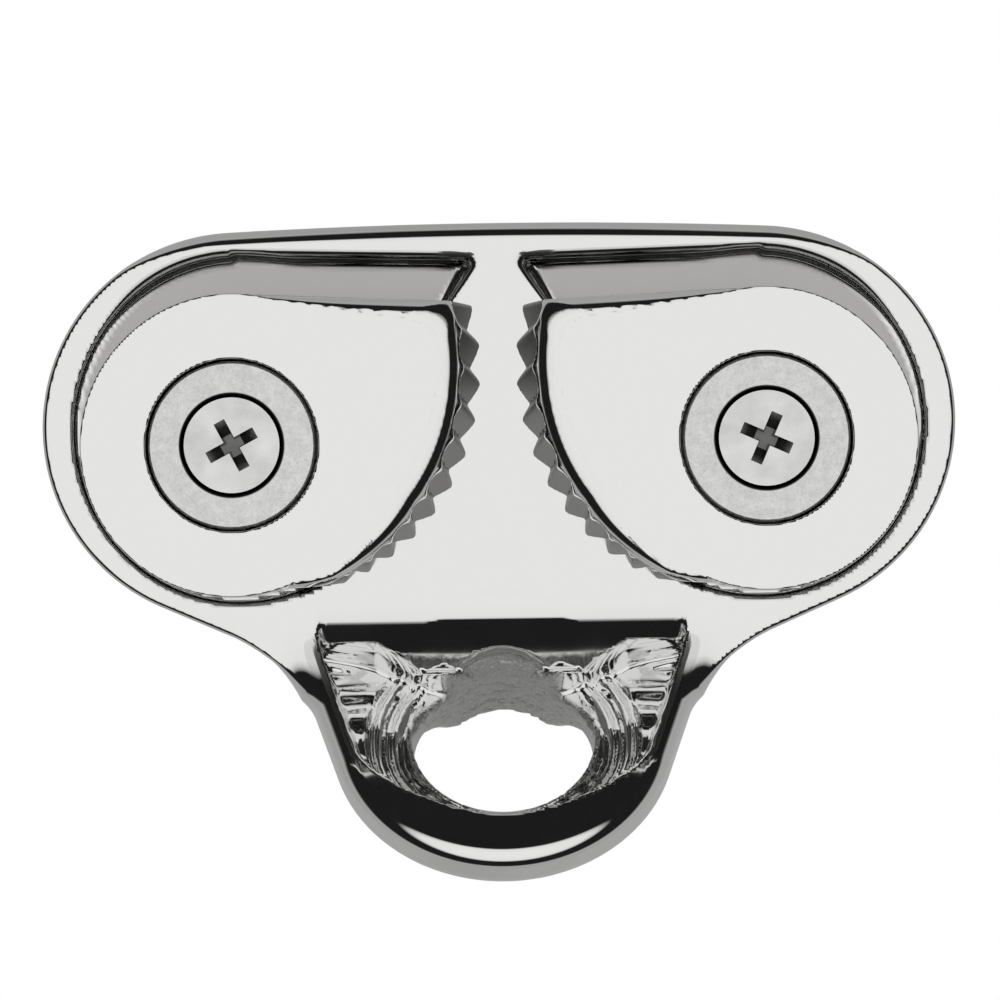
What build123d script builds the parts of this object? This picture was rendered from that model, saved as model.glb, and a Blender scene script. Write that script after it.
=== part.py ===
"""Cam cleat with a fairlead ring: two sprung toothed cams on one cast base.

Millimetres. +Z is up from the deck, +Y is the hand side where the rope leaves, -Y is the
fairlead side. The origin is on the underside, midway between the two pivots.
"""
from build123d import *
from math import atan2, cos, degrees, exp, radians, sin, tan
import os

# --- driving dimensions -------------------------------------------------------------------
PIVOT_X = 19.0              # half of the 38 mm spacing of the two deck screws
BASE_TOP = 6.5              # channel floor and rim above the deck
END_RADIUS = 14.23          # round ends of the base
END_CENTRE_Y = 1.4          # the round ends are centred a little behind the pivots
BACK_Y = 16.07              # crown of the back edge
BACK_CORNER = 5.0           # the crowned back edge meets the round end at this angle
FRONT_SLANT = 23.5          # the front edges slant in towards the neck
EDGE_ROUND = 0.8            # rounded upper edge of the base
BELOW_BASE = (100, 100, 30) # everything cut away under the deck face
EDGE_BREAK = 0.15           # small chamfer on turned pieces
TINY = 0.001

POCKET_DEPTH = 1.8          # recess that each cam's hub turns in
POCKET_RADIUS = 12.6
POCKET_CENTRE_Y = 1.15
POCKET_WALL_ANGLE = 1.5     # slant of the straight far wall
POCKET_SIDE_ANGLE = 18.0    # where the wall towards the channel leaves the round
POCKET_CORNER_X = 1.9
POCKET_CORNER_Y = 13.3

FAIRLEAD_Y = -19.8          # centre of the fairlead plate's round head, on its upper face
FAIRLEAD_Z = 9.5
FAIRLEAD_TILT = 38.0        # the plate rises outward at this angle
HEAD_RADIUS = 12.5
PLATE_THICKNESS = 3.9
UPPER_ROUND = 1.2           # rounding of the plate's edges
LOWER_ROUND = 1.6
SIDE_ANGLE = 17.0           # splay of the plate's straight sides
FOOT_REACH = 8.4            # how far the plate runs back into the base
BORE_RADIUS = 6.55
BOSS_RADIUS = 8.8           # thickened ring under the plate, round the bore
BOSS_THICKNESS = 5.5
BORE_OFFSET = -1.5          # the bore is off the head's centre, towards the outer end
SLOPE_Y = -12.4             # the channel floor slopes down from here to the bore
SLOPE_END = -16.6
SLOPE_TILT = 25.5
SLOPE_HALF_WIDTH = 12.2
SILL_RADIUS = 8.8           # thick sill that the rope runs over into the bore
SILL_DROP = 1.2             # the sill's bore sits this much lower than the plate's
SILL_FRONT = -21.5
NECK_HALF_WIDTH = 15.6      # front corners of the base
NECK_TAPER = 1.4            # the neck narrows by this on each side over its length
NECK_LENGTH = 2.2

CAM_BOTTOM = 7.0            # toothed part of the cam, 0.5 above the base
TOOTH_TOP = 16.0            # upper end of the toothed face
CAM_TOP = 17.5
CAM_ROUND_RADIUS = 10.8     # smooth outer side of the cam
CAM_NEAR_ANGLE = -72.0      # where the outer side turns into the straight near edge
SPIRAL_RADIUS = 16.85       # radius of the toothed spiral straight towards the channel
SPIRAL_RATE = 0.317         # the spiral's radius grows by this share each radian
SPIRAL_START = -53.0
SPIRAL_END = 30.2
FACE_LEAN = 1.2             # the toothed face leans back by this much at its upper end
SHOULDER_WIDTH = 2.4        # slope from the toothed face up to the flat top
EASE_START = 0.3            # share of the lean and shoulder at the spiral's near end
EASE_ANGLE = 35.0           # angle over which they grow to full size
TOOTH_COUNT = 11
TOOTH_DEPTH = 0.95
TOOTH_SLANT = 1.3           # sideways run of a tooth over the face's height
OPEN_ANGLE = 38.0           # travel of each cam from shut to fully open

HUB_RADIUS = 10.2
HUB_BOTTOM = 5.2
SPRING_WELL_RADIUS = 7.4
SPRING_WELL_TOP = 9.0
SPRING_RADIUS = 6.0
SPRING_WIRE = 0.45          # radius of the wire
WIRE_SIDES = 16             # the coil's wire is drawn with this many flats round it
SPRING_PITCH = 1.05
SPRING_START_Z = 5.75
SPRING_HEIGHT = 2.36
SPRING_LEG = 2.2            # depth of the holes for the legs
LEG_LENGTH = 1.4            # how far the legs reach into them
LEG_GAP = 0.1
ELBOW_EXTRA = 0.03          # the wire is a little fatter where it bends into a leg
STOP_RADIUS = 8.8           # circle that the stop pin stands on
STOP_PIN = 0.7
STOP_DEPTH = 2.0            # the pin is pressed this far into the pocket floor
STOP_GAP = 0.4
PIN_GAP = 0.1
STOP_SLOT = 0.8

SCREW_RADIUS = 2.0          # M4 thread, below the base
SHANK_RADIUS = 1.9          # plain shank, inside the base
SCREW_BORE = 2.15
SCREW_HEAD = 3.4
SCREW_TIP_Z = -12.0
SCREW_POINT = 0.5           # chamfer at the tip
RECESS_TURN = {"left": 28.0, "right": 24.0}
BUSH_RADIUS = 4.0
SLEEVE_INNER = 4.05
SLEEVE_OUTER = 4.95
SLEEVE_BOTTOM = 9.2
CAP_RADIUS = 5.95
CAP_RECESS = 6.15
CAP_BOTTOM = 15.4
CAP_GAP = 0.2               # between the cap washer and the cam's recess
SLEEVE_GAP = 0.3
CAP_TOP = 17.35
COUNTERSINK = 3.66
HEAD_LAND = 0.3             # straight rim above the countersink
HEAD_GAP = 0.26             # the head is this much smaller than the countersink
HEAD_SINK = 0.05
SEAT_GAP = 0.08
RECESS_DEPTH = 1.5          # the cross recess tapers over this depth
RECESS_MOUTH = (3.8, 0.85)
RECESS_FLOOR = (1.6, 0.6)
WASHER_INNER = 7.6
WASHER_OUTER = 10.0
WASHER_THICKNESS = 0.45

POCKET_FLOOR = BASE_TOP - POCKET_DEPTH
SIDES = {"left": -1, "right": 1}


# --- helpers --------------------------------------------------------------------------------
def disc(radius, low, high, x=0.0, y=0.0):
    """Upright cylinder between two heights."""
    return Pos(x, y, low) * Cylinder(radius, high - low, align=(Align.CENTER, Align.CENTER, Align.MIN))


def tube(outer, inner, low, high):
    """Upright tube between two heights, on the local pivot axis."""
    return disc(outer, low, high) - disc(inner, low - 1, high + 1)


def rod(start, end, radius):
    """Round rod between two points, with a round end at the start."""
    axis = Vector(*end) - Vector(*start)
    place = Plane(origin=start, z_dir=axis)
    body = place * Cylinder(radius, axis.length, align=(Align.CENTER, Align.CENTER, Align.MIN))
    return body + Pos(*start) * Sphere(radius)


def polar(radius, angle):
    """Point at a radius and angle about the local pivot axis."""
    return radius * cos(radians(angle)), radius * sin(radians(angle))


# --- base casting ---------------------------------------------------------------------------
def base_outline():
    """Oblong with round ends, a slightly crowned back and a neck at the front."""
    back_x = PIVOT_X + END_RADIUS * sin(radians(BACK_CORNER))
    back_y = END_CENTRE_Y + END_RADIUS * cos(radians(BACK_CORNER))
    front_x = PIVOT_X + END_RADIUS * sin(radians(FRONT_SLANT))
    front_y = END_CENTRE_Y - END_RADIUS * cos(radians(FRONT_SLANT))
    neck_x = NECK_HALF_WIDTH
    neck_y = front_y - (front_x - neck_x) * tan(radians(FRONT_SLANT))
    foot_x = neck_x - NECK_TAPER
    foot_y = neck_y - NECK_LENGTH
    edges = [
        ThreePointArc((-back_x, back_y), (0, BACK_Y), (back_x, back_y)),
        ThreePointArc((back_x, back_y), (PIVOT_X + END_RADIUS, END_CENTRE_Y), (front_x, front_y)),
        Line((front_x, front_y), (neck_x, neck_y)),
        Line((neck_x, neck_y), (foot_x, foot_y)),
        Line((foot_x, foot_y), (-foot_x, foot_y)),
        Line((-foot_x, foot_y), (-neck_x, neck_y)),
        Line((-neck_x, neck_y), (-front_x, front_y)),
        ThreePointArc((-front_x, front_y), (-PIVOT_X - END_RADIUS, END_CENTRE_Y), (-back_x, back_y)),
    ]
    return make_face(Wire(edges))


def pocket(side):
    """Recess for one cam: round about the hub, with a straight far wall that ends in a corner."""
    def at(angle):
        x, y = polar(POCKET_RADIUS, angle)
        return side * (PIVOT_X - x), POCKET_CENTRE_Y + y

    wall_start = at(90 - POCKET_WALL_ANGLE)
    wall_end = (side * POCKET_CORNER_X, POCKET_CORNER_Y)
    channel_side = at(POCKET_SIDE_ANGLE)
    edges = [
        Line(wall_start, wall_end),
        Line(wall_end, channel_side),
        ThreePointArc(channel_side, at(-120), wall_start),
    ]
    return extrude(Pos(0, 0, POCKET_FLOOR) * make_face(Wire(edges)), BASE_TOP)


def fairlead():
    """Tilted plate with a round head and rounded edges, thickened where the bore goes."""
    side_x, side_y = polar(HEAD_RADIUS, -SIDE_ANGLE)
    foot_x = side_x + (FOOT_REACH - side_y) * tan(radians(SIDE_ANGLE))
    edges = [
        ThreePointArc((side_x, side_y), (0, -HEAD_RADIUS), (-side_x, side_y)),
        Line((-side_x, side_y), (-foot_x, FOOT_REACH)),
        Line((-foot_x, FOOT_REACH), (foot_x, FOOT_REACH)),
        Line((foot_x, FOOT_REACH), (side_x, side_y)),
    ]
    plate = extrude(make_face(Wire(edges)), -PLATE_THICKNESS)
    for level, rounding in ((-1, UPPER_ROUND), (0, LOWER_ROUND)):
        flat = plate.edges().filter_by(Plane.XY).group_by(Axis.Z)[level]
        plate = fillet(flat.filter_by(lambda edge: edge.center().Y < FOOT_REACH - 0.5), rounding)
    plate += disc(BOSS_RADIUS, -BOSS_THICKNESS, -UPPER_ROUND, 0, BORE_OFFSET)
    return Pos(0, FAIRLEAD_Y, FAIRLEAD_Z) * Rot(-FAIRLEAD_TILT, 0, 0) * plate


def channel_slope():
    """Space above the sloping channel floor."""
    length = SLOPE_Y - SLOPE_END
    drop = length * tan(radians(SLOPE_TILT))
    section = Polygon(
        (SLOPE_Y, BASE_TOP),
        (SLOPE_END, BASE_TOP - drop),
        (SLOPE_END, BASE_TOP + PLATE_THICKNESS),
        (SLOPE_Y, BASE_TOP + PLATE_THICKNESS),
        align=None,
    )
    return extrude(Plane.YZ * section, SLOPE_HALF_WIDTH, both=True)


def bore():
    """Space of the bore, a little longer towards the base than a plain round."""
    stretch = SILL_DROP * sin(radians(FAIRLEAD_TILT))
    section = Rot(0, 0, 90) * SlotCenterToCenter(stretch, 2 * BORE_RADIUS)
    rod = extrude(Pos(0, BORE_OFFSET + stretch / 2, -2 * HEAD_RADIUS) * section, 3 * HEAD_RADIUS)
    return Pos(0, FAIRLEAD_Y, FAIRLEAD_Z) * Rot(-FAIRLEAD_TILT, 0, 0) * rod


def sill():
    """Solid under the sloping floor, round the lower end of the bore."""
    post = disc(SILL_RADIUS, -2 * HEAD_RADIUS, HEAD_RADIUS / 2, 0, BORE_OFFSET)
    post = Pos(0, FAIRLEAD_Y, FAIRLEAD_Z - SILL_DROP) * Rot(-FAIRLEAD_TILT, 0, 0) * post
    room = Pos(0, SILL_FRONT, 0) * Box(
        2 * SILL_RADIUS,
        SLOPE_Y - SILL_FRONT,
        BASE_TOP - EDGE_ROUND,
        align=(Align.CENTER, Align.MIN, Align.MIN),
    )
    return (post & room) - channel_slope()


def base_body():
    """The one-piece casting: plate, two pockets and the fairlead."""
    plate = extrude(base_outline(), BASE_TOP)
    plate = fillet(plate.edges().group_by(Axis.Z)[-1], EDGE_ROUND)
    body = plate + fairlead() - channel_slope() + sill()
    body -= bore()
    body -= Box(*BELOW_BASE, align=(Align.CENTER, Align.CENTER, Align.MAX))
    for side in (-1, 1):
        body -= pocket(side)
        x = side * PIVOT_X
        leg_x, leg_y = polar(SPRING_RADIUS, 180)
        body -= disc(SCREW_BORE, -1, BASE_TOP, x)
        body -= disc(SPRING_WIRE + LEG_GAP, POCKET_FLOOR - SPRING_LEG, BASE_TOP, x - side * leg_x, leg_y)
        body -= disc(STOP_PIN, POCKET_FLOOR - STOP_DEPTH, BASE_TOP, x + side * STOP_RADIUS)
    return body


# --- pieces on a left pivot, drawn about the pivot axis -----------------------------------------
def spiral(angle, inset=0.0):
    """Point on the toothed spiral, moved in by the inset, which eases off at the near end."""
    share = min(1.0, EASE_START + (1 - EASE_START) * (angle - SPIRAL_START) / EASE_ANGLE)
    inset = inset * share
    return polar(SPIRAL_RADIUS * exp(SPIRAL_RATE * radians(angle)) - inset, angle)


def cam_outline(height, inset):
    """Smooth cam profile: round outer side, straight far edge and the spiral face."""
    steps = 8
    points = [
        spiral(SPIRAL_START + (SPIRAL_END - SPIRAL_START) * i / steps, inset) for i in range(steps + 1)
    ]
    far = (0, CAM_ROUND_RADIUS)
    near = polar(CAM_ROUND_RADIUS, CAM_NEAR_ANGLE)
    middle = polar(CAM_ROUND_RADIUS, CAM_NEAR_ANGLE / 2 + 225)
    edges = [
        Spline(*points),
        Line(points[-1], far),
        ThreePointArc(far, middle, near),
        Line(near, points[0]),
    ]
    return Pos(0, 0, height) * make_face(Wire(edges))


def tooth_groove(angle):
    """Slanted V groove between two teeth."""
    half_pitch = (SPIRAL_END - SPIRAL_START) / (TOOTH_COUNT - 1) / 2
    tip = SPIRAL_RADIUS * exp(SPIRAL_RATE * radians(angle))
    reach = 3
    half_width = tip * radians(half_pitch) * reach
    outer = tip + (reach - 1) * TOOTH_DEPTH
    section = Polygon((tip - TOOTH_DEPTH, 0), (outer, -half_width), (outer, half_width), align=None)
    face_height = TOOTH_TOP - CAM_BOTTOM
    lean = -FACE_LEAN / face_height
    slant = TOOTH_SLANT / face_height
    rise = CAM_TOP - CAM_BOTTOM + 2
    path = Vector(lean, slant, 1)
    start = Pos(-lean, -slant, CAM_BOTTOM - 1) * section
    cutter = extrude(start, rise * path.length, dir=path)
    return Rot(0, 0, angle) * cutter


def cam():
    """Toothed cam with a round hub, spring well, stop slot and a recess for the cap."""
    face = loft([cam_outline(CAM_BOTTOM, 0), cam_outline(TOOTH_TOP, FACE_LEAN)], ruled=True)
    shoulder_inset = FACE_LEAN + SHOULDER_WIDTH
    shoulder = loft([cam_outline(TOOTH_TOP, FACE_LEAN), cam_outline(CAM_TOP, shoulder_inset)], ruled=True)
    body = face + shoulder + disc(HUB_RADIUS, HUB_BOTTOM, CAM_BOTTOM + 1)
    pitch = (SPIRAL_END - SPIRAL_START) / (TOOTH_COUNT - 1)
    for i in range(TOOTH_COUNT - 1):
        body -= tooth_groove(SPIRAL_START + pitch * (i + 0.5))
    body -= disc(SLEEVE_OUTER, HUB_BOTTOM - 1, CAM_TOP + 1)
    body -= disc(CAP_RECESS, CAP_BOTTOM - CAP_GAP, CAM_TOP + 1)
    body -= disc(SPRING_WELL_RADIUS, HUB_BOTTOM - 1, SPRING_WELL_TOP)
    slot = SlotArc(CenterArc((0, 0), STOP_RADIUS, 179.7 - OPEN_ANGLE, OPEN_ANGLE + 0.6), 2 * STOP_SLOT)
    body -= Pos(0, 0, HUB_BOTTOM - 1) * extrude(slot, SPRING_WELL_TOP - HUB_BOTTOM + 1)
    leg_x, leg_y = polar(SPRING_RADIUS, spring_end_angle())
    body -= disc(SPRING_WIRE + LEG_GAP, HUB_BOTTOM, SPRING_WELL_TOP + SPRING_LEG, leg_x, leg_y)
    return body


def bearing_sleeve():
    """Acetal sleeve pressed into the cam."""
    return tube(SLEEVE_OUTER, SLEEVE_INNER, SLEEVE_BOTTOM, CAP_BOTTOM - SLEEVE_GAP)


def pivot_bush():
    """Steel tube that the cam turns on and the screw clamps to the base."""
    return tube(BUSH_RADIUS, SCREW_BORE, POCKET_FLOOR, CAP_BOTTOM)


def cap_washer():
    """Matte washer over the cam, countersunk for the screw head."""
    ring = tube(CAP_RADIUS, SCREW_BORE, CAP_BOTTOM, CAP_TOP)
    ring = chamfer(ring.edges().group_by(Axis.Z)[-1].sort_by(SortBy.RADIUS)[-1], EDGE_BREAK)
    depth = COUNTERSINK - SCREW_BORE
    sink = Cone(SCREW_BORE, COUNTERSINK, depth, align=(Align.CENTER, Align.CENTER, Align.MAX))
    rim = disc(COUNTERSINK, CAP_TOP - HEAD_LAND, CAP_TOP + 1)
    return ring - Pos(0, 0, CAP_TOP - HEAD_LAND) * sink - rim


def thrust_washer():
    """Acetal ring that the hub slides on, with a hole for the stop pin."""
    ring = tube(WASHER_OUTER, WASHER_INNER, POCKET_FLOOR, POCKET_FLOOR + WASHER_THICKNESS)
    return ring - disc(STOP_PIN + PIN_GAP, POCKET_FLOOR - 1, HUB_BOTTOM, -STOP_RADIUS)


def stop_pin():
    """Dowel pressed into the base that ends the cam's travel."""
    pin = disc(STOP_PIN, POCKET_FLOOR - STOP_DEPTH, SPRING_WELL_TOP - STOP_GAP, -STOP_RADIUS)
    return chamfer(pin.edges().group_by(Axis.Z)[-1], EDGE_BREAK)


def spring_end_angle():
    """Angle of the spring's upper leg about the pivot."""
    end = Rot(0, 0, 180) * Vertex(*(Helix(SPRING_PITCH, SPRING_HEIGHT, SPRING_RADIUS) @ 1))
    return degrees(atan2(end.Y, end.X))


def torsion_spring():
    """Wire coil about the bush, one leg in the base and one in the cam."""
    coil_path = Helix(SPRING_PITCH, SPRING_HEIGHT, SPRING_RADIUS)
    section = Plane(origin=coil_path @ 0, z_dir=coil_path % 0) * RegularPolygon(SPRING_WIRE, WIRE_SIDES)
    coil = Pos(0, 0, SPRING_START_Z) * Rot(0, 0, 180) * sweep(section, path=coil_path, is_frenet=True)
    low_x, low_y = polar(SPRING_RADIUS, 180)
    high_x, high_y = polar(SPRING_RADIUS, spring_end_angle())
    top_z = SPRING_START_Z + SPRING_HEIGHT
    low = (low_x, low_y, SPRING_START_Z)
    high = (high_x, high_y, top_z)
    legs = rod(low, (low_x, low_y, POCKET_FLOOR - LEG_LENGTH), SPRING_WIRE)
    legs += rod(high, (high_x, high_y, SPRING_WELL_TOP + LEG_LENGTH), SPRING_WIRE)
    for elbow in (low, high):
        coil += Pos(*elbow) * Sphere(SPRING_WIRE + ELBOW_EXTRA)
    return coil + legs


def mount_screw(turn):
    """Countersunk M4 screw with a cross recess, long enough to pass through a deck."""
    top = CAP_TOP - HEAD_SINK
    land = HEAD_LAND + HEAD_GAP - SEAT_GAP
    cone = SCREW_HEAD - SHANK_RADIUS
    head = disc(SCREW_HEAD, top - land, top)
    under = Cone(SHANK_RADIUS, SCREW_HEAD, cone, align=(Align.CENTER, Align.CENTER, Align.MAX))
    thread = disc(SCREW_RADIUS, SCREW_TIP_Z, 0)
    thread = chamfer(thread.edges().group_by(Axis.Z)[0], SCREW_POINT)
    screw = thread + disc(SHANK_RADIUS, 0, top - land) + Pos(0, 0, top - land) * under + head
    for quarter in (0, 90):
        deep = Pos(0, 0, top - RECESS_DEPTH) * Rectangle(*RECESS_FLOOR)
        wing = loft([deep, Pos(0, 0, top + TINY) * Rectangle(*RECESS_MOUTH)])
        screw -= Rot(0, 0, turn + quarter) * wing
    return screw


# --- all nodes ------------------------------------------------------------------------------
def place(shape, side):
    """Moves a left-hand piece from its pivot axis to its side of the base."""
    left = Pos(-PIVOT_X, 0, 0) * shape
    return left if side == "left" else mirror(left, about=Plane.YZ)


def all_nodes():
    """Every node by name, in place."""
    nodes = {"base_body": base_body()}
    makers = {
        "cam": cam,
        "bearing_sleeve": bearing_sleeve,
        "pivot_bush": pivot_bush,
        "cap_washer": cap_washer,
        "thrust_washer": thrust_washer,
        "torsion_spring": torsion_spring,
        "stop_pin": stop_pin,
    }
    for name, maker in makers.items():
        shape = maker()
        for side in SIDES:
            nodes[f"{side}_{name}"] = place(shape, side)
    for side in SIDES:
        nodes[f"{side}_mount_screw"] = place(mount_screw(RECESS_TURN[side]), side)
    return nodes


os.makedirs("parts", exist_ok=True)
for node, shape in all_nodes().items():
    export_step(shape, f"parts/{node}.step")
    print(f"{node}: {len(shape.solids())} solid, {shape.volume:.1f} mm3")
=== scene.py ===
import math

import bpy
import numpy as np
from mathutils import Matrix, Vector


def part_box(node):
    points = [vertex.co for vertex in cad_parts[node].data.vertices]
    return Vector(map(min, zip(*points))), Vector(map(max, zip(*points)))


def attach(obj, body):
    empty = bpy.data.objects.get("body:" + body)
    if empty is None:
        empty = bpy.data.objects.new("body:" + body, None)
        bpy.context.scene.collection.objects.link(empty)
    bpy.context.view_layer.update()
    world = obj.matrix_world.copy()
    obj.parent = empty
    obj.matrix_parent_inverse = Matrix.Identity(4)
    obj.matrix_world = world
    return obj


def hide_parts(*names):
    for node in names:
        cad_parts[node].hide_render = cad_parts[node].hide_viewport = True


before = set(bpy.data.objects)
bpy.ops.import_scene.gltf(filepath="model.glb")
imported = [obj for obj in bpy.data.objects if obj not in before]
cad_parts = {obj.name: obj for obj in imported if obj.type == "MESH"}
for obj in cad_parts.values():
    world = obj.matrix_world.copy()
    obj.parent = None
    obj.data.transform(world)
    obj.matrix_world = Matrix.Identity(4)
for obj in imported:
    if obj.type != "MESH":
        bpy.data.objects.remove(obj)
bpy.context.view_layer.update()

import openvdb
from mathutils import Vector

MM = 0.001


# --- sizes in millimetres, from the frame where the frame holds them --------------------------
def box_mm(node):
    """Lowest and highest corners of a CAD node, in millimetres."""
    low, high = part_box(node)
    return np.array(low) / MM, np.array(high) / MM


cap_low, cap_high = box_mm("right_cap_washer")
cam_low, cam_high = box_mm("right_cam")
base_low, base_high = box_mm("base_body")

PIVOT_X = (cap_low[0] + cap_high[0]) / 2
END_RADIUS = base_high[0] - PIVOT_X
END_Y = 1.4
BACK_Y = base_high[1]
BASE_TOP = 6.5
POCKET_FLOOR = 4.7
POCKET_RADIUS = 12.6
POCKET_Y = 1.15
POCKET_SQUEEZE = 1.05
POCKET_WALL_SLOPE = 0.0265
POCKET_CORNER_X = 1.9
POCKET_CORNER_Y = 13.3
POCKET_CORNER_NORMAL = (-0.851, -0.525)
POCKET_CORNER_ROUND = 0.5
POCKET_FILLET = 0.6
SCREW_HOLE = 2.15
FRONT_SLANT = math.radians(23.5)
NECK_X = 15.6
NECK_TAPER = 1.4
NECK_LENGTH = 2.2
NECK_ROOT = 4
NECK_FILLET = 2.5
EDGE_ROUND = 0.45
BACK_EDGE_EXTRA = 1.0
UNDERSIDE_ROUND = 0.35
WALL_ROUND = 0.25
FAR_WALL_EXTRA = 0.6

PLATE_Y = -19.8
PLATE_Z = 9.5
PLATE_TILT = math.radians(38)
PLATE_SIDE = math.radians(17)
HEAD_RADIUS = 12.5
PLATE_THICKNESS = 3.9
PLATE_FILLET = 2.2
UPPER_ROUND = 1.2
LOWER_ROUND = 1.6
BOSS_RADIUS = 8.8
BOSS_THICKNESS = 5.5
BOSS_START = 1.2
BOSS_ROUND = 0.9
BOSS_FILLET = 0.8
SLOPE_Y = -12.4
SLOPE_END = -16.6
SLOPE_TILT = math.radians(24)
SILL_RADIUS = 8.8
SILL_FRONT = -20.6
SILL_DROP = 1.2
SILL_TOP = 5.7
SILL_ROUND = 2.0
SILL_FILLET = 1.2
CHANNEL_RUN_BACK = 1
CHANNEL_RIM = 1.7
CHANNEL_CORNER = 0.8
PLATE_REACH = 8.4
BORE_RADIUS = 6.55
BORE_OFFSET = 1.5
BORE_LIP = 0.7

HOLLOW_RIM = 1.6
HOLLOW_RIM_GROWTH = 2.9
HOLLOW_RIM_SPAN = (-9.5, -2.5)
HOLLOW_END = 6.4
HOLLOW_END_SLANT = 0.33
HOLLOW_END_WIDTH = 9.2
HOLLOW_TO_BORE = 0.5
HOLLOW_DEPTH = 0.5
HOLLOW_SLOPE = 0.42
HOLLOW_SLOPE_WIDTH = 6
HOLLOW_FALL = 0.12
HOLLOW_ROUND = 0.5
FLUTE_SQUASH = 0.75
FLUTES_BEGIN = (6.9, 7.6)
FLUTES_STOP = (9.6, 10.4)
FLUTE_HEIGHT = 0.24
FLUTE_PITCH = 1.3
SWELL_HEIGHT = 0.10
SWELL_PITCH = 2.6

CAM_BOTTOM = 7.0
CAM_TOP = cam_high[2]
CAM_RADIUS = cam_high[1]
HUB_BOTTOM = cam_low[2]
HUB_RADIUS = 10.2
HUB_MIDDLE = 6.6
TOOTH_TOP = 16.0
SPIRAL_RADIUS = 16.85
SPIRAL_RATE = 0.317
SPIRAL_START = math.radians(-53.0)
SPIRAL_END = math.radians(30.2)
NEAR_ANGLE = math.radians(-72)
CAM_REACH = 18.8
TOOTH_COUNT = 11
TOOTH_PITCH = (SPIRAL_END - SPIRAL_START) / (TOOTH_COUNT - 1)
TOOTH_SLANT = 0.5
TOOTH_DEPTH = 1.0
TIP_ROUND = 0.03
ROOT_ROUND = 0.02
FACE_LEAN = 1.2
LEAN_AT_START = 0.3
LEAN_SPREAD = math.radians(35)
FACE_STEEPNESS = 0.92
SHOULDER_WIDTH = 2.4
SHOULDER_RISE = 0.985
FAR_SHOULDER = 0.7
FACE_CORNER = 0.25
SHOULDER_CORNER = 1.6
TOP_ROUND = 0.12
CAP_RECESS = 6.13
CAP_SEAT = 15.2
SLEEVE_BORE = 4.95
SPRING_WELL = 7.4
SPRING_WELL_TOP = 9.0


# --- distance fields: negative inside, in millimetres ------------------------------------------
def both(a, b, rounding):
    """Intersection of two fields, its edge rounded to a radius."""
    corner = np.hypot(np.maximum(a + rounding, 0), np.maximum(b + rounding, 0)) - rounding
    return np.minimum(np.maximum(a, b), -rounding) + corner + rounding


def either(a, b, rounding):
    """Union of two fields, the valley between them filled to a radius."""
    return -both(-a, -b, rounding)


def without(a, b, rounding):
    """Field a with b cut away."""
    return both(a, -b, rounding)


def smooth_step(value, low, high):
    """0 below low, 1 above high, smooth between."""
    share = np.clip((value - low) / (high - low), 0, 1)
    return share * share * (3 - 2 * share)


def plate_place(y, z):
    """Coordinates in the fairlead plate's upper face: v runs back to the base, n stands off it."""
    dy, dz = y - PLATE_Y, z - PLATE_Z
    v = dy * math.cos(PLATE_TILT) - dz * math.sin(PLATE_TILT)
    n = dy * math.sin(PLATE_TILT) + dz * math.cos(PLATE_TILT)
    return v, n


def head_field(u, v):
    """Outline of the fairlead plate: a round head with splayed straight sides."""
    along = u * math.sin(PLATE_SIDE) + v * math.cos(PLATE_SIDE)
    side = u * math.cos(PLATE_SIDE) - v * math.sin(PLATE_SIDE) - HEAD_RADIUS
    return np.where(along > 0, side, np.hypot(u, v) - HEAD_RADIUS)


def outline_field(u, y):
    """Plan of the base, for u the distance from its middle line."""
    ends = np.hypot(u - PIVOT_X, y - END_Y) - END_RADIUS
    rise = BACK_Y - END_Y
    back_radius = (PIVOT_X ** 2 + rise ** 2 - END_RADIUS ** 2) / (2 * (rise - END_RADIUS))
    back_centre = BACK_Y - back_radius
    back = np.hypot(u, y - back_centre) - back_radius
    front_x = PIVOT_X + END_RADIUS * math.sin(FRONT_SLANT)
    front_y = END_Y - END_RADIUS * math.cos(FRONT_SLANT)
    front = (u - front_x) * math.sin(FRONT_SLANT) - (y - front_y) * math.cos(FRONT_SLANT)
    bearing = np.arctan2(y - END_Y, u - PIVOT_X)
    lean = math.atan2(PIVOT_X, END_Y - back_centre)
    on_end = (bearing > FRONT_SLANT - math.pi / 2) & (bearing < math.pi / 2 - lean)
    body = np.where(on_end, ends, np.maximum(back, front))
    neck_y = front_y - (front_x - NECK_X) * math.tan(FRONT_SLANT)
    length = math.hypot(NECK_TAPER, NECK_LENGTH)
    side = ((u - NECK_X) * NECK_LENGTH - (y - neck_y) * NECK_TAPER) / length
    neck = np.maximum(np.maximum(side, neck_y - NECK_LENGTH - y), y - neck_y - NECK_ROOT)
    return either(body, neck, NECK_FILLET)


def pocket_field(u, y):
    """Plan of a cam's pocket: round, with a straight far wall that ends in a corner."""
    across = (u - PIVOT_X) * np.where(u > PIVOT_X, POCKET_SQUEEZE, 1.0)
    disc = np.hypot(across, y - POCKET_Y) - POCKET_RADIUS
    far = -POCKET_WALL_SLOPE * (u - PIVOT_X) + y - POCKET_Y - POCKET_RADIUS
    normal_x, normal_y = POCKET_CORNER_NORMAL
    channel_side = normal_x * (u - POCKET_CORNER_X) + normal_y * (y - POCKET_CORNER_Y)
    corner = both(far, channel_side, POCKET_CORNER_ROUND)
    corner = np.maximum(np.maximum(corner, u - PIVOT_X), POCKET_Y - y)
    return either(disc, corner, POCKET_FILLET)


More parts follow.
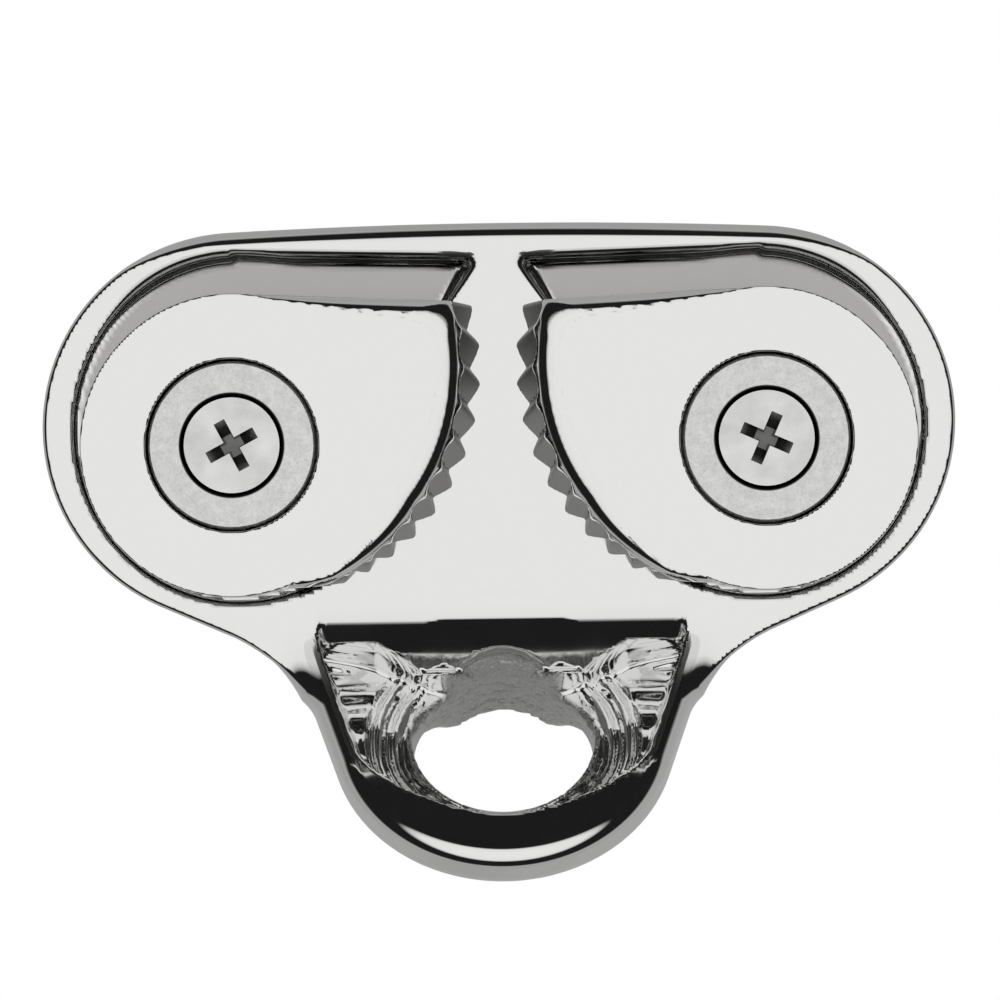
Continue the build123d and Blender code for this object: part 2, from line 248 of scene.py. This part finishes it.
def hollow_field(u, v, n):
    """Fluted hollow beside the bore, under the plate's upper face."""
    inward = -head_field(u, v)
    from_bore = np.hypot(u, v + BORE_OFFSET)
    swept = np.hypot(u, np.where(v > -BORE_OFFSET, FLUTE_SQUASH, 1.0) * (v + BORE_OFFSET))
    rim = HOLLOW_RIM + HOLLOW_RIM_GROWTH * (1 - smooth_step(v, *HOLLOW_RIM_SPAN))
    upper = v - HOLLOW_END + HOLLOW_END_SLANT * np.maximum(HOLLOW_END_WIDTH - u, 0)
    beside = np.maximum(np.maximum(rim - inward, upper), BORE_RADIUS + HOLLOW_TO_BORE - from_bore)
    fluted = smooth_step(swept, *FLUTES_BEGIN) * (1 - smooth_step(swept, *FLUTES_STOP))
    flutes = FLUTE_HEIGHT * fluted * np.cos(swept * 2 * math.pi / FLUTE_PITCH)
    swell = SWELL_HEIGHT * (1 - fluted) * np.cos(v * 2 * math.pi / SWELL_PITCH + u)
    slope = HOLLOW_SLOPE * np.clip(inward - rim, 0, HOLLOW_SLOPE_WIDTH)
    floor = -HOLLOW_DEPTH - slope - HOLLOW_FALL * np.maximum(v, 0) + flutes + swell
    return both(beside, floor - n, HOLLOW_ROUND)


def fairlead_field(x, y, z):
    """Plate with rounded edges and a boss round its bore."""
    u = np.abs(x)
    v, n = plate_place(y, z)
    outline = head_field(u, v)
    from_bore = np.hypot(u, v + BORE_OFFSET)
    shape = both(both(outline, n, UPPER_ROUND), -n - PLATE_THICKNESS, LOWER_ROUND)
    shape = np.maximum(shape, v - PLATE_REACH)
    boss = np.maximum(from_bore - BOSS_RADIUS, n + BOSS_START)
    boss = both(boss, -n - BOSS_THICKNESS, BOSS_ROUND)
    return either(shape, boss, BOSS_FILLET)


def base_field(x, y, z):
    """The whole casting, without the CAD's holes for the stop pins and the springs' legs."""
    u = np.abs(x)
    v, n = plate_place(y, z)
    back_round = EDGE_ROUND + BACK_EDGE_EXTRA * smooth_step(y, 12.5, 15.5)
    body = both(outline_field(u, y), z - BASE_TOP, back_round)
    body = either(body, fairlead_field(x, y, z), PLATE_FILLET)
    low_v, _ = plate_place(y, z + SILL_DROP)
    low_bore = np.hypot(u, low_v + BORE_OFFSET)
    above = (z - BASE_TOP) * math.cos(SLOPE_TILT) - (y - SLOPE_Y) * math.sin(SLOPE_TILT)
    sill = both(low_bore - SILL_RADIUS, SILL_FRONT - y, SILL_ROUND)
    sill = np.maximum(sill, np.maximum(above, z - SILL_TOP))
    body = either(body, sill, SILL_FILLET)
    channel = np.maximum(-above, np.maximum(SLOPE_END - y, y - SLOPE_Y - CHANNEL_RUN_BACK))
    channel = both(channel, head_field(u, v) + CHANNEL_RIM, CHANNEL_CORNER)
    body = without(body, channel, 0.35)
    body = without(body, hollow_field(u, v, n), 0.3)
    bore = np.minimum(np.hypot(u, v + BORE_OFFSET), low_bore) - BORE_RADIUS
    body = without(body, bore, BORE_LIP)
    wall_round = WALL_ROUND + FAR_WALL_EXTRA * smooth_step(y, 7.5, 13.0)
    clear_of_painted_recess_shade = both(pocket_field(u, y), POCKET_FLOOR - z, wall_round)
    body = without(body, clear_of_painted_recess_shade, wall_round)
    body = without(body, np.hypot(u - PIVOT_X, y) - SCREW_HOLE, 0.15)
    return both(body, -z, UNDERSIDE_ROUND)


def spiral_radius(angle):
    """Radius of the toothed face before it leans back."""
    return SPIRAL_RADIUS * np.exp(SPIRAL_RATE * angle)


def tooth_groove(z, angle, open_angle):
    """Depth of the slanted grooves between the teeth, fading out at the face's ends."""
    slant = TOOTH_SLANT * (z - CAM_BOTTOM) / (TOOTH_TOP - CAM_BOTTOM)
    turn = (open_angle - SPIRAL_START) / TOOTH_PITCH - slant
    wave = np.abs(2 * (turn - np.floor(turn)) - 1)
    crest = 1 - np.sqrt((1 - wave) ** 2 + TIP_ROUND) + math.sqrt(TIP_ROUND)
    groove = TOOTH_DEPTH * (1 - np.sqrt(np.maximum(crest, 0) ** 2 + ROOT_ROUND))
    fade = 1 - smooth_step(z, TOOTH_TOP - 0.3, TOOTH_TOP + 0.9)
    return groove * (fade * smooth_step(angle, SPIRAL_START - 0.05, SPIRAL_START + 0.08))


def cam_edges(x, y):
    """Fields of the straight far edge and the straight near edge, from the spiral to the round."""
    far_end = SPIRAL_RADIUS * math.exp(SPIRAL_RATE * SPIRAL_END)
    far_x, far_y = far_end * math.cos(SPIRAL_END), far_end * math.sin(SPIRAL_END)
    run = math.hypot(far_x, CAM_RADIUS - far_y)
    far = (x * (CAM_RADIUS - far_y) + (y - CAM_RADIUS) * far_x) / run
    near_end = SPIRAL_RADIUS * math.exp(SPIRAL_RATE * SPIRAL_START)
    near_x, near_y = near_end * math.cos(SPIRAL_START), near_end * math.sin(SPIRAL_START)
    foot_x, foot_y = CAM_RADIUS * math.cos(NEAR_ANGLE), CAM_RADIUS * math.sin(NEAR_ANGLE)
    run = math.hypot(near_x - foot_x, near_y - foot_y)
    near = ((x - foot_x) * (near_y - foot_y) - (y - foot_y) * (near_x - foot_x)) / run
    return far, near


def cam_field(x, y, z):
    """A left cam about its own pivot axis, without the CAD's stop slot and spring-leg hole."""
    radius = np.hypot(x, y)
    angle = np.arctan2(y, x)
    open_angle = np.clip(angle, math.radians(-80), math.radians(60))
    share = LEAN_AT_START + (1 - LEAN_AT_START) * (open_angle - SPIRAL_START) / LEAN_SPREAD
    share = np.clip(share, LEAN_AT_START, 1)
    lean = FACE_LEAN * np.clip((z - CAM_BOTTOM) / (TOOTH_TOP - CAM_BOTTOM), 0, 1)
    rise = np.clip((z - TOOTH_TOP) / (CAM_TOP - TOOTH_TOP), 0, SHOULDER_RISE)
    shoulder = SHOULDER_WIDTH * (1 - np.sqrt(1 - rise * rise))
    spiral = spiral_radius(open_angle) - share * (lean + shoulder)
    face = (radius - spiral + tooth_groove(z, angle, open_angle)) * FACE_STEEPNESS
    far, near = cam_edges(x, y)
    far = far + smooth_step(x, -2, 15) * FAR_SHOULDER * shoulder
    corner = FACE_CORNER + SHOULDER_CORNER * smooth_step(z, TOOTH_TOP, CAM_TOP)
    wedge = np.maximum(np.maximum(both(face, far, corner), near), -x)
    body = both(np.minimum(wedge, radius - CAM_RADIUS), z - CAM_TOP, TOP_ROUND)
    body = both(body, CAM_BOTTOM - z, 0.2)
    hub = both(radius - HUB_RADIUS, np.abs(z - HUB_MIDDLE) - HUB_MIDDLE + HUB_BOTTOM, 0.1)
    body = either(body, hub, 0.2)
    body = without(body, both(radius - CAP_RECESS, CAP_SEAT - z, 0.05), 0.12)
    body = np.maximum(body, -np.maximum(radius - SPRING_WELL, z - SPRING_WELL_TOP))
    return without(body, radius - SLEEVE_BORE, 0.1)


# --- meshes from fields ------------------------------------------------------------------------
GRADIENT_STEP = 0.02
BAND_VOXELS = 3
PROJECTIONS = 3


def gradient(field, points):
    """Unit direction in which the field grows, at each point."""
    grown = []
    for axis in range(3):
        shift = np.zeros(3)
        shift[axis] = GRADIENT_STEP
        ahead, behind = points + shift, points - shift
        grown.append(field(*ahead.T) - field(*behind.T))
    normal = np.stack(grown, axis=1)
    return normal / np.maximum(np.linalg.norm(normal, axis=1, keepdims=True), 1e-9)


def field_mesh(name, field, low, high, voxel, centre=(0, 0, 0), mirror=False):
    """Mesh of the field's zero surface, each point brought onto it, with its true normals."""
    counts = [int(math.ceil((high[i] - low[i]) / voxel)) + 1 for i in range(3)]
    axes = [low[i] + voxel * np.arange(counts[i]) for i in range(3)]
    grid_x, grid_y, grid_z = np.meshgrid(*axes, indexing="ij", sparse=True)
    band = BAND_VOXELS * voxel
    values = np.clip(field(grid_x, grid_y, grid_z), -band, band).astype(np.float32)
    grid = openvdb.FloatGrid(band)
    grid.copyFromArray(np.ascontiguousarray(values))
    points, quads = grid.convertToQuads(isovalue=0.0)
    points = points.astype(float) * voxel + np.array(low)
    for _ in range(PROJECTIONS):
        normal = gradient(field, points)
        move = np.clip(field(*points.T), -0.5 * voxel, 0.5 * voxel)
        points -= normal * move[:, None]
    normal = gradient(field, points)
    local = points.copy()
    if mirror:
        points[:, 0] *= -1
        normal[:, 0] *= -1
    corners = points[quads]
    face_normal = np.cross(corners[:, 2] - corners[:, 0], corners[:, 3] - corners[:, 1])
    outward = (face_normal * normal[quads[:, 0]]).sum() > 0
    if not outward:
        quads = quads[:, ::-1]
    mesh = bpy.data.meshes.new(name)
    mesh.from_pydata(((points + np.array(centre)) * MM).tolist(), [], quads.tolist())
    mesh.validate()
    mesh.shade_smooth()
    mesh.normals_split_custom_set_from_vertices(normal.tolist())
    piece = bpy.data.objects.new(name, mesh)
    bpy.context.scene.collection.objects.link(piece)
    return piece, local


def add_mask(piece, name, values):
    """Stores a number from 0 to 1 on each point for the materials to read."""
    attribute = piece.data.attributes.new(name, "FLOAT", "POINT")
    attribute.data.foreach_set("value", np.ascontiguousarray(values, dtype=np.float32))


# --- materials -----------------------------------------------------------------------------------
class Surface:
    """A Principled material and the node chain that gives it its grain."""

    def __init__(self, name, colour, metallic, roughness):
        self.material = bpy.data.materials.new(name)
        self.material.use_nodes = True
        self.nodes = self.material.node_tree.nodes
        self.links = self.material.node_tree.links
        self.shader = self.nodes["Principled BSDF"]
        self.shader.inputs["Base Color"].default_value = (*colour, 1)
        self.shader.inputs["Metallic"].default_value = metallic
        self.shader.inputs["Roughness"].default_value = roughness
        self.place = self.nodes.new("ShaderNodeTexCoord").outputs["Object"]

    def noise(self, scale, detail=3.0, stretch=None):
        """Noise in the object's own space, in cycles per metre."""
        node = self.nodes.new("ShaderNodeTexNoise")
        node.inputs["Scale"].default_value = scale
        node.inputs["Detail"].default_value = detail
        place = self.place
        if stretch:
            mapping = self.nodes.new("ShaderNodeMapping")
            mapping.inputs["Scale"].default_value = stretch
            self.links.new(place, mapping.inputs["Vector"])
            place = mapping.outputs["Vector"]
        self.links.new(place, node.inputs["Vector"])
        return node.outputs["Fac"]

    def ramp(self, source, low, high, start=0.3, end=0.7):
        """Maps a source onto a range of numbers."""
        node = self.nodes.new("ShaderNodeMapRange")
        node.inputs["From Min"].default_value = start
        node.inputs["From Max"].default_value = end
        node.inputs["To Min"].default_value = low
        node.inputs["To Max"].default_value = high
        self.links.new(source, node.inputs["Value"])
        return node.outputs["Result"]

    def mix(self, share, low, high):
        """Number between two sources or numbers by a share."""
        node = self.nodes.new("ShaderNodeMix")
        self.links.new(share, node.inputs["Factor"])
        for socket, value in (("A", low), ("B", high)):
            if isinstance(value, (int, float)):
                node.inputs[socket].default_value = value
            else:
                self.links.new(value, node.inputs[socket])
        return node.outputs["Result"]

    def tint(self, share, low, high):
        """Base colour between two colours by a share."""
        node = self.nodes.new("ShaderNodeMix")
        node.data_type = "RGBA"
        self.links.new(share, node.inputs["Factor"])
        node.inputs[6].default_value = (*low, 1)
        node.inputs[7].default_value = (*high, 1)
        self.links.new(node.outputs[2], self.shader.inputs["Base Color"])

    def mask(self, name):
        """A number stored on the mesh."""
        node = self.nodes.new("ShaderNodeAttribute")
        node.attribute_name = name
        return node.outputs["Fac"]

    def bump(self, height, distance, strength=1.0):
        """Adds relief, in metres, after any relief already there."""
        node = self.nodes.new("ShaderNodeBump")
        node.inputs["Distance"].default_value = distance
        if isinstance(strength, (int, float)):
            node.inputs["Strength"].default_value = strength
        else:
            self.links.new(strength, node.inputs["Strength"])
        self.links.new(height, node.inputs["Height"])
        previous = self.shader.inputs["Normal"].links
        if previous:
            self.links.new(previous[0].from_socket, node.inputs["Normal"])
        self.links.new(node.outputs["Normal"], self.shader.inputs["Normal"])

    def math(self, operation, first, second=0.0):
        """One arithmetic step on sources or numbers."""
        node = self.nodes.new("ShaderNodeMath")
        node.operation = operation
        for socket, value in zip(node.inputs, (first, second)):
            if isinstance(value, (int, float)):
                socket.default_value = value
            else:
                self.links.new(value, socket)
        return node.outputs["Value"]

    def axes(self):
        """The object's own x, y and z, in metres."""
        node = self.nodes.new("ShaderNodeSeparateXYZ")
        self.links.new(self.place, node.inputs["Vector"])
        return node.outputs["X"], node.outputs["Y"], node.outputs["Z"]

    def from_pivot(self):
        """Distance from the nearer pivot axis, in metres."""
        x, y, _ = self.axes()
        across = self.math("SUBTRACT", self.math("ABSOLUTE", x), PIVOT_X * MM)
        square = self.math("ADD", self.math("MULTIPLY", across, across), self.math("MULTIPLY", y, y))
        return self.math("SQRT", square)

    def roughness(self, source):
        """Drives the roughness."""
        self.links.new(source, self.shader.inputs["Roughness"])


POLISHED = (0.83, 0.83, 0.82)


def polished_steel(name, cast_tone_and_shade_colour):
    """Mirror polish with faint waves. Where masked it has a satiny finish and painted shade darkening its
    colour, and where masked as cast it is rough as cast with a darker cast tone.
    """
    surface = Surface(name, POLISHED, 1.0, 0.05)
    cast = surface.mask("cast")
    satin_and_painted_shade = surface.mask("satin_and_painted_shade")
    polish = surface.ramp(surface.noise(260, 4), 0.035, 0.075)
    dull = surface.mix(satin_and_painted_shade, polish, 0.42)
    surface.roughness(surface.mix(cast, dull, surface.ramp(surface.noise(1500, 4), 0.22, 0.42)))
    # Darkening toward the given colour: painted shade where the satin mask is set, and the cast bore's own
    # darker tone where the cast mask is set.
    cast_tone_and_painted_shade = surface.math("MAXIMUM", surface.math("MULTIPLY", cast, 0.45), satin_and_painted_shade)
    surface.tint(cast_tone_and_painted_shade, POLISHED, cast_tone_and_shade_colour)
    surface.bump(surface.noise(90, 2), 0.00003, 0.25)
    surface.bump(surface.noise(1500, 6), 0.0005, cast)
    return surface.material


def blasted_steel():
    """Fine even grain of a bead-blasted washer, with painted shade in the gap round the screw head."""
    surface = Surface("blasted_steel", (0.70, 0.70, 0.69), 1.0, 0.38)
    surface.roughness(surface.ramp(surface.noise(5200, 4), 0.32, 0.46))
    grain = surface.ramp(surface.noise(1400, 6), 0.84, 1)
    # Near-black inside the washer's hole edge: painted shade in the gap round the screw head.
    clear_of_painted_gap_shade = surface.ramp(surface.from_pivot(), 0, 1, start=0.00372, end=0.00380)
    surface.tint(surface.math("MULTIPLY", grain, clear_of_painted_gap_shade), (0.02, 0.02, 0.02), (0.82, 0.82, 0.81))
    surface.bump(surface.noise(5200, 4), 0.00007, 0.7)
    return surface.material


def screw_steel():
    """Formed screw with a satiny finish and fine grain, with painted shade down in its recess."""
    surface = Surface("screw_steel", (0.68, 0.68, 0.68), 1.0, 0.25)
    surface.roughness(surface.ramp(surface.noise(1200, 4), 0.2, 0.34))
    _, _, height = surface.axes()
    grain = surface.ramp(surface.noise(500, 4), 0.8, 1)
    # Darker below the head's top: painted shade down in the screw's recess.
    clear_of_painted_recess_shade = surface.ramp(height, 0.22, 1, start=0.0166, end=0.01722)
    surface.tint(surface.math("MULTIPLY", grain, clear_of_painted_recess_shade), (0.01, 0.01, 0.01), (0.78, 0.78, 0.77))
    surface.bump(surface.noise(2500, 3), 0.00003, 0.4)
    return surface.material


def turned_steel():
    """Lathe-turned steel with fine rings along the axis."""
    surface = Surface("turned_steel", (0.60, 0.60, 0.60), 1.0, 0.3)
    surface.roughness(surface.ramp(surface.noise(900, 3, (1, 1, 12)), 0.24, 0.36))
    surface.bump(surface.noise(900, 2, (1, 1, 14)), 0.00002, 0.5)
    return surface.material


def spring_steel():
    """Drawn wire with faint long marks."""
    surface = Surface("spring_steel", (0.48, 0.47, 0.46), 1.0, 0.32)
    surface.roughness(surface.ramp(surface.noise(1500, 3), 0.26, 0.42))
    surface.bump(surface.noise(3000, 2), 0.00002, 0.5)
    return surface.material


def acetal():
    """Black moulded plastic with a fine skin."""
    surface = Surface("acetal", (0.03, 0.03, 0.032), 0.0, 0.45)
    surface.roughness(surface.ramp(surface.noise(1800, 3), 0.38, 0.52))
    surface.bump(surface.noise(4000, 2), 0.00002, 0.4)
    return surface.material


# --- pieces --------------------------------------------------------------------------------------
def base_casting(material):
    """The casting, with masks for its rough bore and for its satiny pockets, whose mask also paints shade
    into their colour.
    """
    margin = 1.2
    voxel = 0.3
    piece, at = field_mesh("base_casting", base_field, base_low - margin, base_high + margin, voxel)
    x, y, z = at.T
    v, _ = plate_place(y, z)
    low_v, _ = plate_place(y, z + SILL_DROP)
    from_bore = np.minimum(np.hypot(x, v + BORE_OFFSET), np.hypot(x, low_v + BORE_OFFSET))
    in_bore = 1 - smooth_step(from_bore, BORE_RADIUS + 0.1, BORE_RADIUS + 0.6)
    below_jaws, outer_wall = y < -14, smooth_step(y, -27.0, -24.5)
    cast = in_bore * below_jaws * outer_wall
    # Pocket floors and low walls: a satiny finish, and painted shade darkening their colour.
    satin_and_painted_shade = smooth_step(-pocket_field(np.abs(x), y), 0.35, 0.6) * (1 - smooth_step(z, 5.2, 5.8))
    add_mask(piece, "cast", cast)
    add_mask(piece, "satin_and_painted_shade", 0.66 * satin_and_painted_shade)
    piece.data.materials.append(material)
    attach(piece, "base")
    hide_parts("base_body")


def cast_cam(side, sign, material):
    """One toothed cam. The right one mirrors the left."""
    margin = 1
    low = np.array((-CAM_RADIUS - margin, -CAM_RADIUS - margin, HUB_BOTTOM - margin))
    high = np.array((CAM_REACH, CAM_RADIUS + margin, CAM_TOP + margin))
    piece, at = field_mesh(
        f"{side}_toothed_cam",
        cam_field,
        low,
        high,
        0.2,
        centre=(sign * PIVOT_X, 0, 0),
        mirror=sign > 0,
    )
    x, y, z = at.T
    radius, angle = np.hypot(x, y), np.arctan2(y, x)
    spiral = spiral_radius(np.clip(angle, -1.4, 1.05))
    # Tooth flanks and the gap round the cap washer: a satiny finish, and painted shade darkening their
    # colour.
    on_face = smooth_step(radius - spiral, -2.9, -2.2) * (np.abs(angle) < 1.2)
    flank = on_face * (1 - smooth_step(z, TOOTH_TOP - 0.5, TOOTH_TOP + 0.1))
    in_recess = 1 - smooth_step(radius, CAP_RECESS + 0.02, CAP_RECESS + 0.08)
    cap_gap = in_recess * (z < CAM_TOP - TOP_ROUND)
    add_mask(piece, "cast", np.zeros(len(at)))
    add_mask(piece, "satin_and_painted_shade", np.maximum(flank, cap_gap))
    piece.data.materials.append(material)
    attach(piece, f"{side}_cam_body")
    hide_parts(f"{side}_cam")


def dress_cad_nodes():
    """Gives each CAD node that stays in view the material of its kind."""
    turned, plastic = turned_steel(), acetal()
    finishes = {
        "cap_washer": blasted_steel(),
        "mount_screw": screw_steel(),
        "pivot_bush": turned,
        "stop_pin": turned,
        "torsion_spring": spring_steel(),
        "bearing_sleeve": plastic,
        "thrust_washer": plastic,
    }
    for name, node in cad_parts.items():
        finish = finishes.get(name.split("_", 1)[1])
        if finish:
            node.data.materials.clear()
            node.data.materials.append(finish)


# --- studio --------------------------------------------------------------------------------------
def add_camera():
    """Straight above the cleat, as far off as a product photograph."""
    distance = 0.45
    width = 0.07273
    target = Vector((0, -0.00415, BASE_TOP * MM))
    data = bpy.data.cameras.new("camera")
    data.sensor_width = 36
    data.lens = data.sensor_width * distance / width
    data.clip_start = 0.01
    camera = bpy.data.objects.new("camera", data)
    camera.location = target + Vector((0, 0, distance))
    camera.rotation_euler = (0, 0, math.radians(-0.8))
    bpy.context.scene.collection.objects.link(camera)
    bpy.context.scene.camera = camera


def add_floor():
    """Pale floor that glows white to the camera and more dimly to all other rays."""
    half = 1.5
    corners = [(-half, -half, 0), (half, -half, 0), (half, half, 0), (-half, half, 0)]
    mesh = bpy.data.meshes.new("floor")
    mesh.from_pydata(corners, [], [(0, 1, 2, 3)])
    floor = bpy.data.objects.new("floor", mesh)
    bpy.context.scene.collection.objects.link(floor)
    surface = Surface("floor", (0.0, 0.0, 0.0), 0.0, 0.9)
    surface.shader.inputs["Specular IOR Level"].default_value = 0
    light = surface.nodes.new("ShaderNodeLightPath")
    glow = surface.mix(light.outputs["Is Camera Ray"], surface.ramp(surface.noise(12), 0.36, 0.44), 1.0)
    surface.links.new(glow, surface.shader.inputs["Emission Strength"])
    surface.shader.inputs["Emission Color"].default_value = (1, 1, 1, 1)
    mesh.materials.append(surface.material)


def add_lights():
    """One large soft lamp overhead, which reflections don't show."""
    data = bpy.data.lights.new("overhead", "AREA")
    data.shape = "RECTANGLE"
    data.size = 1.2
    data.size_y = 1.0
    data.energy = 14
    lamp = bpy.data.objects.new("overhead", data)
    lamp.location = (0.05, 0.05, 0.9)
    lamp.visible_glossy = False
    lamp.visible_camera = False
    bpy.context.scene.collection.objects.link(lamp)


def add_world():
    """Studio that reflections see, pale above with dark walls. Other rays see an even grey."""
    world = bpy.data.worlds.new("studio")
    bpy.context.scene.world = world
    world.use_nodes = True
    nodes, links = world.node_tree.nodes, world.node_tree.links
    place = nodes.new("ShaderNodeTexCoord").outputs["Generated"]
    split = nodes.new("ShaderNodeSeparateXYZ")
    links.new(place, split.inputs["Vector"])
    ramp = nodes.new("ShaderNodeValToRGB")
    links.new(split.outputs["Z"], ramp.inputs["Fac"])
    stops = [(0.0, 0.5), (0.10, 0.25), (0.20, 0.012), (0.70, 0.012), (0.76, 0.6), (0.82, 0.88), (1.0, 0.93)]
    while len(ramp.color_ramp.elements) < len(stops):
        ramp.color_ramp.elements.new(0.5)
    for element, (position, value) in zip(ramp.color_ramp.elements, stops):
        element.position = position
        element.color = (value, value, value, 1)
    light = nodes.new("ShaderNodeLightPath")
    mix = nodes.new("ShaderNodeMix")
    mix.data_type = "RGBA"
    mix.inputs[6].default_value = (0.85, 0.85, 0.85, 1)
    links.new(light.outputs["Is Glossy Ray"], mix.inputs["Factor"])
    links.new(ramp.outputs["Color"], mix.inputs[7])
    links.new(mix.outputs[2], nodes["Background"].inputs["Color"])


add_camera()
add_floor()
add_lights()
add_world()
bpy.context.scene.view_settings.view_transform = "Standard"
base_casting(polished_steel("polished_base", (0.30, 0.29, 0.28)))
cam_material = polished_steel("polished_cam", (0.17, 0.165, 0.16))
for side, sign in (("left", -1), ("right", 1)):
    cast_cam(side, sign, cam_material)
dress_cad_nodes()
